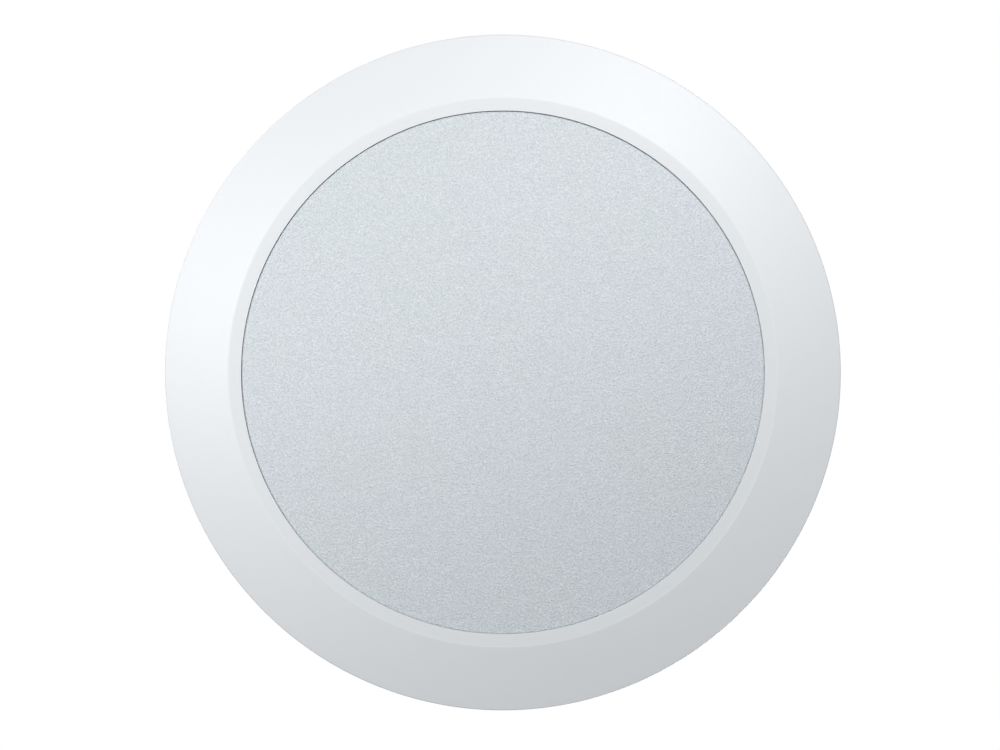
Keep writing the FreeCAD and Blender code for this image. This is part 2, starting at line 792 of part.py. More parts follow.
def transformer():
    """An E core on a bobbin, with one taped winding round its middle leg."""
    core_low, core_high = "board_top + core_lift", "board_top + core_lift + core_height"
    front, rear = "(0 - core_y - core_depth / 2)", "(core_depth / 2 - core_y)"
    half = "core_width / 2"
    core = box("transformer_core", "0 - " + half, half, front, rear, core_low, core_high)
    window = rectangle(f"core_leg - {half}", f"{half} - core_leg",
                       core_low + " + core_bridge", core_high + " - core_bridge")
    pocket(core, "window", "XZ_Plane", [window], front, rear)
    leg = rectangle("0 - core_leg", "core_leg", core_low + " + core_bridge", core_high + " - core_bridge")
    leg_front, leg_rear = "0 - core_y - centre_leg_depth / 2", "centre_leg_depth / 2 - core_y"
    pad(core, "centre_leg", "XZ_Plane", [leg], leg_front, leg_rear)
    side = "bobbin_width / 2"
    rail_front, rail_rear = front + " - component_gap", rear + " + component_gap"
    bobbin = box("transformer_bobbin", "0 - " + side, side, rail_front + " - front_rail", rail_front,
                 "board_top", "board_top + bobbin_height")
    pad(bobbin, "pin_rail", "XY_Plane",
        [rectangle("0 - " + side, side, rail_rear, rail_rear + " + rear_rail")],
        "board_top", "board_top + bobbin_height")
    pad(bobbin, "bobbin_floor", "XY_Plane", [rectangle("0 - " + side, side, rail_front, rail_rear)],
        "board_top", core_low + " - component_gap")
    coil = f"({half} - core_leg - component_gap)"
    coil_low = core_low + " + core_bridge + component_gap"
    coil_high = core_high + " - core_bridge - component_gap"
    winding = box("transformer_winding", "0 - " + coil, coil, "0 - core_y - winding_depth / 2",
                  "winding_depth / 2 - core_y", coil_low, coil_high)
    room = rectangle("0 - core_leg - component_gap", "core_leg + component_gap",
                     leg_front + " - component_gap", leg_rear + " + component_gap")
    pocket(winding, "leg_room", "XY_Plane", [room], coil_low, coil_high)


def choke():
    body = new_body("choke_core")
    x, y = "0 - choke_x", "0 - choke_y"
    foot_top, cap_low = "board_top + choke_disc", "board_top + choke_height - choke_disc"
    pad(body, "choke_foot", "XY_Plane", [(x, y, "choke_r")], "board_top", foot_top)
    pad(body, "choke_post", "XY_Plane", [(x, y, "choke_post_r")], foot_top, cap_low)
    pad(body, "choke_cap", "XY_Plane", [(x, y, "choke_r")], cap_low, "board_top + choke_height")
    winding = new_body("choke_winding")
    pad(winding, "choke_coil", "XY_Plane",
        [(x, y, "choke_r - choke_rim"), (x, y, "choke_post_r + hole_gap")],
        foot_top + " + running_gap", cap_low + " - running_gap")


def chip_resistors():
    body = new_body("chip_resistors")
    spots = [(f"resistor_row_x - {number} * resistor_row_pitch", "0 - resistor_row_y")
             for number in range(3)]
    spots += [("resistor_column_x",
               f"0 - resistor_column_y - {number} * resistor_column_pitch") for number in range(2)]
    pad(body, "resistor_blocks", "XY_Plane",
        [rectangle(f"{x} - resistor_length / 2", f"{x} + resistor_length / 2",
                   f"{y} - resistor_width / 2", f"{y} + resistor_width / 2") for x, y in spots],
        "board_top", "board_top + resistor_height")


def selector():
    half = "switch_length / 2"
    body = box("selector_switch", "0 - " + half, half, "switch_front",
               "switch_front + switch_depth", "board_top", "board_top + switch_height")
    pocket(body, "slider_room", "XZ_Plane", [knob_room()], "switch_front",
           "switch_front + knob_root + knob_gap")
    knob = new_body("selector_knob")
    pad(knob, "knob_stem", "XZ_Plane",
        [rectangle("0 - knob_width / 2", "knob_width / 2",
                   "knob_z - knob_height / 2", "knob_z + knob_height / 2")],
        "0 - pod_half_y - knob_reach", "switch_front + knob_root")
    tip = "0 - pod_half_y - knob_reach"
    grooves = [rectangle(f"{x} - grip_width / 2", f"{x} + grip_width / 2",
                         "knob_z - knob_height", "knob_z + knob_height")
               for x in ("0 - knob_width / 4", "0", "knob_width / 4")]
    pocket(knob, "grip_grooves", "XZ_Plane", grooves, tip, tip + " + grip_depth")


def terminals():
    half = "block_width / 2"
    top = "board_top + block_height"
    middle = "block_y + block_depth / 2"
    body = box("terminal_block", "0 - " + half, half, "block_y", "block_y + block_depth",
               "board_top", top)
    poles = ("pole_pitch / 2", "0 - pole_pitch / 2")
    pocket(body, "screw_wells", "XY_Plane",
           [(x, middle, "terminal_screw_r + hole_gap") for x in poles], top + " - well_depth", top)
    pocket(body, "wire_holes", "XZ_Plane",
           [(x, "board_top + wire_hole_height", "wire_hole_r") for x in poles],
           middle, "block_y + block_depth")
    screws("terminal_screws", [(x, middle) for x in poles], top + " - terminal_screw_drop",
           "terminal_shank_r", "terminal_shank_length", "terminal_screw_r", "terminal_screw_head")


def cable_entry():
    grommet = new_body("cable_grommet")
    pad(grommet, "neck", "XZ_Plane", [("0", "cable_z", "grommet_neck_r")], "room_half_y", "pod_half_y")
    pad(grommet, "inner_flange", "XZ_Plane", [("0", "cable_z", "grommet_flange_r")],
        "room_half_y - grommet_flange", "room_half_y")
    pad(grommet, "outer_flange", "XZ_Plane", [("0", "cable_z", "grommet_flange_r")],
        "pod_half_y", "pod_half_y + grommet_flange")
    pocket(grommet, "cable_bore", "XZ_Plane", [("0", "cable_z", "cable_bore_r")],
           "room_half_y - grommet_flange", "pod_half_y + grommet_flange")
    reach = "(clamp_post_x + clamp_post_r)"
    bar = box("cord_clamp", "0 - " + reach, reach, "clamp_y - clamp_bar_width / 2",
              "clamp_y + clamp_bar_width / 2", "post_top", "clamp_top", "clamp_bar_width / 4")
    pocket(bar, "bar_holes", "XY_Plane",
           [(x, y, "clamp_screw_r + hole_gap") for x, y in CLAMP_SCREWS], "post_top", "clamp_top")


def lead_grommet():
    body = new_body("lead_grommet")
    middle = ("0", "0 - lead_y")
    pad(body, "lead_neck", "XY_Plane", [(*middle, "lead_grommet_r")], "plate_low", "floor_top")
    pad(body, "lead_rim", "XY_Plane", [(*middle, "lead_grommet_r + lead_grommet_rim")],
        "floor_top", "floor_top + lead_grommet_rim")
    pocket(body, "lead_bore", "XY_Plane", [(*middle, "lead_hole_r")],
           "plate_low", "floor_top + lead_grommet_rim")


# ---- swept wires ----

SWEEP_TOLERANCE = 0.02


def swept(name, edges, radius):
    """A round tube along a path of lines and arcs."""
    path = Part.Wire(edges)
    start = edges[0].firstVertex().Point
    heading = edges[0].tangentAt(edges[0].FirstParameter)
    section = Part.Wire([Part.makeCircle(radius, start, heading)])
    tube = path.makePipeShell([section], True, False)
    expected = math.pi * radius ** 2 * path.Length
    if abs(tube.Volume - expected) > SWEEP_TOLERANCE * expected:
        raise RuntimeError(f"{name} has {tube.Volume:.2f} mm3 where its path needs {expected:.2f}")
    feature = document.addObject("Part::Feature", name)
    feature.Label = name
    feature.Shape = tube
    return feature


def line(start, end):
    return Part.LineSegment(start, end).toShape()


def inside_lead(name, x):
    """From the board down through the grommet, then out along the foam's channel to the strip."""
    top = point(x, "0 - lead_y", "board_low")
    corner = point(x, "0 - lead_y", "lead_z")
    outer_side = value("lead_spacing + lead_r")
    reach = math.sqrt(value("strip_inner_r") ** 2 - outer_side ** 2)
    end = FreeCAD.Vector(top.x, -reach, corner.z)
    radius = value("lead_bend_share") * (top.z - corner.z)
    print(f"{name}: bend radius {radius:.2f} mm")
    above = corner + FreeCAD.Vector(0, 0, radius)
    beyond = corner + FreeCAD.Vector(0, -radius, 0)
    shift = radius * (1 - math.sqrt(0.5))
    middle = corner + FreeCAD.Vector(0, -shift, shift)
    swept(name, [line(top, above), Part.Arc(above, middle, beyond).toShape(), line(beyond, end)],
          value("lead_r"))


def arc_leaving(start, heading, end):
    """The arc from start, along heading, to end."""
    chord = end - start
    angle = heading.getAngle(chord)
    corner = start + heading * (chord.Length / 2 / math.cos(angle))
    middle = (start + end) * 0.5
    rise = (corner - middle).normalize() * (chord.Length / 2 * math.tan(angle / 2))
    return Part.Arc(start, middle + rise, end).toShape()


def biarc(start, heading, end, leaving):
    """Two tangent arcs between two points with given directions."""
    gap = end - start
    both = heading + leaving
    square = 2 * (1 - heading.dot(leaving))
    along = gap.dot(both)
    reach = (math.sqrt(along ** 2 + square * gap.dot(gap)) - along) / square
    joint = (start + heading * reach + end - leaving * reach) * 0.5
    first = arc_leaving(start, heading, joint)
    back = arc_leaving(end, leaving * -1, joint)
    return [first, back]


def coil_point(angle):
    """A point of the spring's centre line and its direction; angle 0 is under the pin."""
    radius = value("spring_mean_r")
    pitch = value("spring_pitch")
    x = value("clip_pin_x") + radius * math.sin(angle)
    y = pitch * angle / (2 * math.pi) - value("coil_half")
    z = value("pin_z") - radius * math.cos(angle)
    heading = FreeCAD.Vector(radius * math.cos(angle), pitch / (2 * math.pi), radius * math.sin(angle))
    return FreeCAD.Vector(x, y, z), heading.normalize()


def clip_spring(name, placement):
    quarters = int(4 * value("spring_turns"))
    step = math.pi / 2
    edges = []
    flat = FreeCAD.Vector(1, 0, 0)
    stations = [coil_point(step * number) for number in range(quarters + 1)]
    stations[0] = (stations[0][0], flat)
    stations[-1] = (stations[-1][0], flat)
    leg = flat * value("spring_leg")
    edges.append(line(stations[0][0] - leg, stations[0][0]))
    for here, there in zip(stations, stations[1:]):
        edges += biarc(here[0], here[1], there[0], there[1])
    edges.append(line(stations[-1][0], stations[-1][0] + leg))
    ordered = Part.__sortEdges__(edges)
    spring = swept(name, ordered, value("spring_wire") / 2)
    spring.Placement = placement
    print(f"{name}: least gap {least_gap(ordered):.2f} mm")


def least_gap(edges):
    """The least distance between the wire's turns, on points along its centre line."""
    points = []
    for edge in edges[1:-1]:
        points += edge.discretize(5)[:-1]
    apart = math.inf
    half_turn = int(len(points) / value("spring_turns") / 2)
    for number, spot in enumerate(points):
        for other in points[number + half_turn:]:
            apart = min(apart, spot.distanceToPoint(other))
    return apart - value("spring_wire")


# ---- clips ----

def clip_bracket(name, placement):
    body = new_body(name)
    pad(body, "foot", "XY_Plane",
        [rectangle("bracket_start", "bracket_end", "0 - bracket_half", "bracket_half")],
        "plate_top", "bracket_top")
    pad(body, "spring_step", "XY_Plane",
        [rectangle("bracket_start", "bracket_start + spring_rest",
                   "0 - coil_half - spring_wire", "spring_wire - coil_half")],
        "bracket_top", "arm_top")
    inner, outer = "(arm_half + clip_gap)", "bracket_half"
    for side, low, high in (("near", inner, outer), ("far", f"0 - {outer}", f"0 - {inner}")):
        upper = [("clip_pin_x - ear_r - clip_sheet", "plate_top"),
                 ("clip_pin_x + ear_r + clip_sheet", "plate_top"),
                 ("clip_pin_x + ear_r", "pin_z"), ("clip_pin_x - ear_r", "pin_z")]
        pad(body, side + "_ear", "XZ_Plane", [upper], low, high)
        pad(body, side + "_ear_top", "XZ_Plane", [("clip_pin_x", "pin_z", "ear_r")], low, high)
    pocket(body, "pin_holes", "XZ_Plane", [("clip_pin_x", "pin_z", "clip_pin_r")],
           f"0 - {outer}", outer)
    pocket(body, "rivet_holes", "XY_Plane",
           [("rivet_x", "rivet_y", "rivet_r + thread_gap"),
            ("rivet_x", "0 - rivet_y", "rivet_r + thread_gap")], "plate_top", "bracket_top")
    body.Placement = placement


def clip_rivets(name, placement):
    body = new_body(name)
    spots = [("rivet_x", "rivet_y"), ("rivet_x", "0 - rivet_y")]
    pad(body, "rivet_shanks", "XY_Plane", [(x, y, "rivet_r") for x, y in spots],
        "plate_low", "bracket_top")
    pad(body, "rivet_heads", "XY_Plane", [(x, y, "rivet_head_r") for x, y in spots],
        "bracket_top", "bracket_top + rivet_head")
    top = value("bracket_top + rivet_head")
    soften(body, "rivet_domes", "rivet_dome",
           lambda edge: abs(edge.CenterOfMass.z - top) < 1e-4)
    body.Placement = placement


def clip_pin(name, placement):
    body = new_body(name)
    pad(body, "clip_pin_shank", "XZ_Plane", [("clip_pin_x", "pin_z", "clip_pin_r")],
        "0 - bracket_half", "bracket_half")
    head = [("clip_pin_x", "pin_z", "clip_pin_head_r")]
    pad(body, "near_head", "XZ_Plane", head, "bracket_half", "bracket_half + clip_pin_head")
    pad(body, "far_head", "XZ_Plane", head, "0 - bracket_half - clip_pin_head", "0 - bracket_half")
    body.Placement = placement


def clip_arm(name, placement):
    body = new_body(name)
    half, tip_half = "arm_half", "arm_tip_width / 2"
    ear_end = "clip_pin_x + arm_ear_reach"
    pad(body, "blade", "XY_Plane", [[
        ("clip_pin_x", "0 - " + half), (ear_end, "0 - " + half),
        ("arm_tip - sleeve_length", "0 - " + tip_half), ("arm_tip", "0 - " + tip_half),
        ("arm_tip", tip_half), ("arm_tip - sleeve_length", tip_half),
        (ear_end, half), ("clip_pin_x", half)]], "arm_low", "arm_top")
    inner = "(arm_half - clip_sheet)"
    side_view = [("clip_pin_x", "arm_low"), (ear_end, "arm_low"), (ear_end, "arm_top + clip_sheet"),
                 ("clip_pin_x + ear_r * cos(ear_front_angle)", "pin_z + ear_r * sin(ear_front_angle)"),
                 ("clip_pin_x - ear_r", "pin_z"),
                 ("clip_pin_x - ear_r * cos(ear_heel_angle)", "pin_z - ear_r * sin(ear_heel_angle)")]
    for side, low, high in (("near", inner, half), ("far", "0 - " + half, "0 - " + inner)):
        pad(body, side + "_arm_ear", "XZ_Plane", [side_view], low, high)
        pad(body, side + "_arm_boss", "XZ_Plane", [("clip_pin_x", "pin_z", "ear_r")], low, high)
    pocket(body, "arm_holes", "XZ_Plane", [("clip_pin_x", "pin_z", "clip_pin_r + running_gap")],
           "0 - " + half, half)
    body.Placement = placement


def clip_sleeve(name, placement):
    body = box(name, "arm_tip - sleeve_length", "arm_tip + sleeve_wall",
               "0 - arm_tip_width / 2 - sleeve_wall", "arm_tip_width / 2 + sleeve_wall",
               "arm_low - sleeve_wall", "arm_top + sleeve_wall")
    soften(body, "sleeve_rounding", "sleeve_wall / 2",
           lambda edge: abs(edge.CenterOfMass.x - value("arm_tip + sleeve_wall")) < 1e-4)
    pocket(body, "arm_room", "XY_Plane",
           [rectangle("arm_tip - sleeve_length", "arm_tip",
                      "0 - arm_tip_width / 2", "arm_tip_width / 2")], "arm_low", "arm_top")
    body.Placement = placement


def clips():
    for side, angle in (("right", 0), ("left", 180)):
        placement = FreeCAD.Placement(FreeCAD.Vector(), FreeCAD.Rotation(FreeCAD.Vector(0, 0, 1), angle))
        clip_bracket(side + "_clip_bracket", placement)
        clip_rivets(side + "_clip_rivets", placement)
        clip_pin(side + "_clip_pin", placement)
        clip_spring(side + "_clip_spring", placement)
        clip_arm(side + "_clip_arm", placement)
        clip_sleeve(side + "_clip_sleeve", placement)


def build():
    trim_ring()
    washer("flange_gasket", "gasket_inner_r", "gasket_outer_r", "0 - gasket_thickness", "0")
    washer("lens_seal", "aperture_r", "lens_step_r", "ledge", "seal_top")
    diffuser_lens()
    disc("light_guide", "guide_r", "lens_back", "guide_back")
    disc("reflector_sheet", "guide_r", "guide_back", "reflector_back")
    led_strip()
    led_chips()
    foam_pad()
    back_plate()
    screws("back_plate_screws", plate_screw_spots(), "plate_top", "plate_screw_r",
           "plate_thickness + plate_screw_length - screw_tip_gap", "plate_screw_head_r", "plate_screw_head")
    driver_base()
    screws("driver_base_screws", BASE_SCREWS, "floor_top", "base_screw_r",
           "pod_floor + plate_thickness", "base_screw_head_r", "base_screw_head")
    driver_cover()
    screws("driver_cover_screws", COVER_SCREWS, "roof_top", "cover_screw_r",
           "cover_screw_length", "cover_screw_head_r", "cover_screw_head")
    terminal_cover()
    terminal_cover_pin()
    driver_board()
    screws("board_screws", BOARD_SCREWS, "board_top", "board_screw_r",
           "board_thickness + standoff_height - screw_tip_gap", "board_screw_head_r", "board_screw_head")
    boxed_components()
    standing_can("bulk_capacitor", "bulk_can_x", "bulk_can_y", "bulk_can_r", "bulk_can_height")
    standing_can("output_capacitor", "output_can_x", "(0 - output_can_y)", "output_can_r",
                 "output_can_height")
    varistor()
    transformer()
    choke()
    chip_resistors()
    selector()
    terminals()
    cable_entry()
    screws("cord_clamp_screws", CLAMP_SCREWS, "clamp_top", "clamp_screw_r",
           "clamp_screw_length", "clamp_screw_head_r", "clamp_screw_head")
    lead_grommet()
    inside_lead("positive_lead", "lead_spacing")
    inside_lead("negative_lead", "0 - lead_spacing")
    clips()


def sub_parts():
    solids = ("PartDesign::Body", "Part::Feature")
    return [item for item in document.Objects if item.TypeId in solids]


def check():
    for item in document.Objects:
        if {"Invalid", "Error"} & set(item.State):
            raise RuntimeError(f"{item.Label} did not recompute: {item.State}")
    for item in sub_parts():
        if item.Shape.isNull() or not item.Shape.isValid() or not item.Shape.Solids:
            raise RuntimeError(f"{item.Label} has no valid solid")


def write():
    os.makedirs("parts", exist_ok=True)
    for item in sub_parts():
        item.Shape.exportStep(f"parts/{item.Label}.step")
    print(len(sub_parts()), "sub-parts written")


build()
document.recompute()
check()
write()
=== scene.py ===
import bmesh
import bpy
import json
import math
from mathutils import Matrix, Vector


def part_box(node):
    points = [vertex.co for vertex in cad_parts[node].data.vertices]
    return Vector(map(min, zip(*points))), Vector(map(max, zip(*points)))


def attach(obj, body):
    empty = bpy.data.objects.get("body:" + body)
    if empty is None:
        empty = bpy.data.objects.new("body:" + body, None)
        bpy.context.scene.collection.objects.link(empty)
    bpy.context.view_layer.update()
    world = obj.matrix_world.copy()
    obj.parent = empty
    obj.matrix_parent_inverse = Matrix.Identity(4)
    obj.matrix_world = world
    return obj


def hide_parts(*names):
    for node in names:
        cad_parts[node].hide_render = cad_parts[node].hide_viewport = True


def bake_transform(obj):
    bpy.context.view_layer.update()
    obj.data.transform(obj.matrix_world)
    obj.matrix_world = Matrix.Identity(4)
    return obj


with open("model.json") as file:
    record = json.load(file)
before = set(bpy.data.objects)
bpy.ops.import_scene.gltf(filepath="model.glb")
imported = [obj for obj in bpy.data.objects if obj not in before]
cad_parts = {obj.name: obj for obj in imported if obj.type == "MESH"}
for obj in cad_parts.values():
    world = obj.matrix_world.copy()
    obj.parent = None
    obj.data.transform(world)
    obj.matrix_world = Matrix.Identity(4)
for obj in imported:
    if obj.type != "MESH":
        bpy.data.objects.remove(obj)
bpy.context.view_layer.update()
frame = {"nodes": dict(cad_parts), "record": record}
nodes = frame["nodes"]
MM = 0.001

# The photograph's frame, and where the flange's outer circle lies in it, in pixels.
PHOTO_WIDTH, PHOTO_HEIGHT = 1000, 750
FLANGE_CENTRE_X, FLANGE_CENTRE_Y = 502.9, 372.5
FLANGE_DIAMETER_PX = 676.0

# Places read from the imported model, metres.
trim_low, trim_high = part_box("trim_ring")
lens_low, lens_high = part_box("diffuser_lens")
gasket_low, gasket_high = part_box("flange_gasket")
seal_low, seal_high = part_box("lens_seal")
TRIM_R = trim_high.x
RIDGE_Z = trim_low.z
WALL_TOP = trim_high.z
LENS_FACE = lens_low.z
LENS_BACK = lens_high.z
LENS_STEP_R = lens_high.x
LENS_STEP_Z = seal_high.z
LEDGE = seal_low.z
CHANNEL_FLOOR = gasket_low.z

# Section sizes of the trim casting, metres.
RIDGE_R = 48.65 * MM
APERTURE_R = 46.35 * MM
BODY_R = 51.5 * MM
BORE_R = 48.3 * MM
RING_EDGE = RIDGE_Z + 0.28 * MM
RIM_Z = -2.5 * MM
LIP_TOP = -0.4 * MM
RIM_LIP = 1.2 * MM

# The lens's face, the shallow step round it that closes most of its gap, and how far the lens
# lies off the middle of that gap, metres.
LENS_R = 46.15 * MM
GROOVE_R = 46.28 * MM
GROOVE_DEPTH = 0.16 * MM
LENS_PLAY = (-0.022 * MM, -0.064 * MM, 0)

GASKET_INNER_R = 52.6 * MM

# How the meshes are made: steps in a turn, degrees above which an edge is sharp, and the
# distances, in metres, within which points are one.
STEPS = 256
TRIM_STEPS = 360
ROUND_SEGMENTS = 5
TURNED_CREASE = 50.0
WIRE_CREASE = 60.0
DRESSED_CREASE = 35.0
TURNED_MERGE = 1e-7
CAD_MERGE = 2e-6
FLAT_ANGLE = 0.6
BREAK_ANGLE = 40.0
BREAK_SEGMENTS = 2

# Noise values between which patches blend and a grain's roughness changes.
PATCH_SPAN = (0.35, 0.65)
GRAIN_SPAN = (0.3, 0.7)
ROUGHNESS_PLAY = 0.05

# Zinc coat: rolling lines along the sheet, and the roughness of its cells.
ROLLING_SCALE = 5200.0
ROLLING_STRETCH = (1.0, 0.06, 1.0)
ZINC_ROUGHNESS = (0.30, 0.46)

# Foam: cell distances over which the painted shade in a pore fades, and that shade's share of the
# colour.
PORE_SHADE_SPAN = (0.1, 0.5)
PORE_SHADE_FACTOR = 0.35

# Frosted lens: faint tints, bright points of painted glint and painted shade in the stipple's
# hollows, each over a span of noise values.
COOL_SCALE, COOL_SPAN = 28.0, (0.42, 0.62)
GREEN_SCALE, GREEN_SPAN = 34.0, (0.45, 0.65)
GREEN_OFFSET = (0.31, 0.17, 0.05)
GLINT_SPAN, GLINT_SHARES, GLINT_COLOUR = (0.52, 0.68), (0.0, 0.56), (0.97, 0.98, 1.0)
PIT_SHADE_SPAN, PIT_SHADE_SHARES, PIT_SHADE_COLOUR = (0.32, 0.48), (0.32, 0.0), (0.42, 0.46, 0.50)
FROST_ROUGHNESS = (0.52, 0.34)

# Paint: its roughness, and where the painted shade on the inner ring ends at the ridge, metres.
PAINT_ROUGHNESS = 0.46
RING_SHADE_END = (RIDGE_R - 0.35 * MM, RIDGE_R + 0.05 * MM)

# Floor, room, lamps and camera. Lamps: name, place in metres, diameter in metres, watts.
FLOOR_HALF = 20.0
FLOOR_Z = -1.0
FLOOR_WHITE = 0.92
ROOM_COLOUR = (0.94, 0.97, 1.0, 1)
ROOM_LIGHT = 0.31
WHITE = (1, 1, 1, 1)
LAMPS = [
    ("front_left_key", (0.098, 0.026, -0.12), 0.06, 0.080),
    ("front_right_key", (-0.053, 0.086, -0.12), 0.06, 0.080),
    ("upper_key", (-0.5, -0.7, 0.9), 0.7, 10.0),
    ("upper_fill", (0.8, 0.5, 0.6), 0.8, 5.0),
]
CAMERA_DISTANCE = 0.60
SENSOR_WIDTH_MM = 36.0


# ---- shader effects ----

def new_group(name, inputs, outputs):
    tree = bpy.data.node_groups.new(name, "ShaderNodeTree")
    for sockets, direction in ((inputs, "INPUT"), (outputs, "OUTPUT")):
        for title, kind in sockets:
            tree.interface.new_socket(title, in_out=direction, socket_type="NodeSocket" + kind)
    return tree, tree.nodes.new("NodeGroupInput"), tree.nodes.new("NodeGroupOutput")


def object_place(tree):
    return tree.nodes.new("ShaderNodeTexCoord").outputs["Object"]


def feed(tree, source, target):
    """Sets the socket from a number or a colour, or links another socket to it."""
    if isinstance(source, (int, float)):
        target.default_value = source
    elif isinstance(source, tuple):
        target.default_value = (*source, 1)
    else:
        tree.links.new(source, target)


def noise(tree, place, scale, detail=2.0, roughness=0.5):
    node = tree.nodes.new("ShaderNodeTexNoise")
    node.inputs["Detail"].default_value = detail
    node.inputs["Roughness"].default_value = roughness
    tree.links.new(place, node.inputs["Vector"])
    feed(tree, scale, node.inputs["Scale"])
    return node.outputs["Fac"]


def cells(tree, place, scale):
    node = tree.nodes.new("ShaderNodeTexVoronoi")
    tree.links.new(place, node.inputs["Vector"])
    tree.links.new(scale, node.inputs["Scale"])
    return node


def mapped(tree, place, title, amounts):
    node = tree.nodes.new("ShaderNodeMapping")
    node.inputs[title].default_value = amounts
    tree.links.new(place, node.inputs["Vector"])
    return node.outputs["Vector"]


def spread(tree, source, within, onto=(0.0, 1.0)):
    """Maps a value's range onto another, clamped."""
    node = tree.nodes.new("ShaderNodeMapRange")
    tree.links.new(source, node.inputs["Value"])
    for title, amount in zip(("From Min", "From Max", "To Min", "To Max"), (*within, *onto)):
        node.inputs[title].default_value = amount
    return node.outputs["Result"]


def blend_colours(tree, factor, first, second):
    node = tree.nodes.new("ShaderNodeMix")
    node.data_type = "RGBA"
    for title, source in (("Factor", factor), ("A", first), ("B", second)):
        feed(tree, source, node.inputs[title])
    return node.outputs["Result"]


def make_mottle():
    """Two colours in soft patches, with a fine grain's height."""
    tree, given, out = new_group(
        "mottled_grain",
        [("Colour", "Color"), ("Second Colour", "Color"),
         ("Patch Scale", "Float"), ("Grain Scale", "Float")],
        [("Colour", "Color"), ("Grain", "Float")])
    place = object_place(tree)
    patches = spread(tree, noise(tree, place, given.outputs["Patch Scale"], detail=3.0), PATCH_SPAN)
    grain = noise(tree, place, given.outputs["Grain Scale"], detail=3.0, roughness=0.6)
    colour = blend_colours(tree, patches, given.outputs["Colour"], given.outputs["Second Colour"])
    tree.links.new(colour, out.inputs["Colour"])
    tree.links.new(grain, out.inputs["Grain"])
    return tree


def make_spangle():
    """Crystal cells of a zinc coat: a tone and a roughness for each, and fine rolling lines."""
    tree, given, out = new_group(
        "zinc_spangle",
        [("Colour", "Color"), ("Second Colour", "Color"), ("Cell Scale", "Float")],
        [("Colour", "Color"), ("Roughness", "Float"), ("Height", "Float")])
    place = object_place(tree)
    tone = tree.nodes.new("ShaderNodeSeparateColor")
    tree.links.new(cells(tree, place, given.outputs["Cell Scale"]).outputs["Color"],
                   tone.inputs["Color"])
    lines = noise(tree, mapped(tree, place, "Scale", ROLLING_STRETCH), ROLLING_SCALE)
    colour = blend_colours(tree, tone.outputs["Red"], given.outputs["Colour"],
                           given.outputs["Second Colour"])
    tree.links.new(colour, out.inputs["Colour"])
    tree.links.new(spread(tree, tone.outputs["Green"], (0.0, 1.0), ZINC_ROUGHNESS),
                   out.inputs["Roughness"])
    tree.links.new(lines, out.inputs["Height"])
    return tree


def make_pores():
    """Closed foam cells, as a height and a mask for the shade painted in each pore."""
    tree, given, out = new_group("foam_pores", [("Cell Scale", "Float")],
                                 [("Height", "Float"), ("Mask", "Float")])
    depth = cells(tree, object_place(tree), given.outputs["Cell Scale"]).outputs["Distance"]
    tree.links.new(depth, out.inputs["Height"])
    tree.links.new(spread(tree, depth, PORE_SHADE_SPAN), out.inputs["Mask"])
    return tree


def make_frosting():
    """The diffuser's stipple: fine grain with painted glints on its high points and painted shade
    in its hollows, and faint tints.
    """
    tree, given, out = new_group(
        "frosted_stipple",
        [("Colour", "Color"), ("Cool Tint", "Color"), ("Green Tint", "Color"),
         ("Grain Scale", "Float")],
        [("Colour", "Color"), ("Roughness", "Float"), ("Height", "Float")])
    place = object_place(tree)
    elsewhere = mapped(tree, place, "Location", GREEN_OFFSET)
    cool = spread(tree, noise(tree, place, COOL_SCALE), COOL_SPAN)
    green = spread(tree, noise(tree, elsewhere, GREEN_SCALE), GREEN_SPAN)
    cooled = blend_colours(tree, cool, given.outputs["Colour"], given.outputs["Cool Tint"])
    tinted = blend_colours(tree, green, cooled, given.outputs["Green Tint"])
    grain = noise(tree, place, given.outputs["Grain Scale"], detail=2.5, roughness=0.62)
    # Painted glints: the highest grain turns toward near white. Painted shade: the lowest grain,
    # the bump's hollows, turns toward grey blue.
    glint_share = spread(tree, grain, GLINT_SPAN, GLINT_SHARES)
    pit_shade_share = spread(tree, grain, PIT_SHADE_SPAN, PIT_SHADE_SHARES)
    glinted = blend_colours(tree, glint_share, tinted, GLINT_COLOUR)
    tree.links.new(blend_colours(tree, pit_shade_share, glinted, PIT_SHADE_COLOUR), out.inputs["Colour"])
    tree.links.new(spread(tree, grain, GRAIN_SPAN, FROST_ROUGHNESS), out.inputs["Roughness"])
    tree.links.new(grain, out.inputs["Height"])
    return tree


MOTTLE = make_mottle()
SPANGLE = make_spangle()
PORES = make_pores()
FROSTING = make_frosting()


# ---- materials ----

def new_material(name, roughness, metallic=0.0):
    material = bpy.data.materials.new(name)
    material.use_nodes = True
    tree = material.node_tree
    shader = tree.nodes["Principled BSDF"]
    shader.inputs["Roughness"].default_value = roughness
    shader.inputs["Metallic"].default_value = metallic
    return material, tree, shader


def place_group(tree, group, **values):
    node = tree.nodes.new("ShaderNodeGroup")
    node.node_tree = group
    for title, amount in values.items():
        feed(tree, amount, node.inputs[title.replace("_", " ")])
    return node


def bump(tree, shader, height, strength, depth):
    node = tree.nodes.new("ShaderNodeBump")
    node.inputs["Strength"].default_value = strength
    node.inputs["Distance"].default_value = depth
    tree.links.new(height, node.inputs["Height"])
    tree.links.new(node.outputs["Normal"], shader.inputs["Normal"])


def grained_roughness(tree, shader, grain, roughness):
    about = (roughness - ROUGHNESS_PLAY, roughness + ROUGHNESS_PLAY)
    tree.links.new(spread(tree, grain, GRAIN_SPAN, about), shader.inputs["Roughness"])


def moulded(name, colour, second, roughness, patch=60.0, grain=2500.0, strength=0.25,
            depth=0.06 * MM):
    """Plastic, rubber or ceramic: faintly patchy colour over a fine grained surface."""
    material, tree, shader = new_material(name, roughness)
    effect = place_group(tree, MOTTLE, Colour=colour, Second_Colour=second,
                         Patch_Scale=patch, Grain_Scale=grain)
    tree.links.new(effect.outputs["Colour"], shader.inputs["Base Color"])
    grained_roughness(tree, shader, effect.outputs["Grain"], roughness)
    bump(tree, shader, effect.outputs["Grain"], strength, depth)
    return material


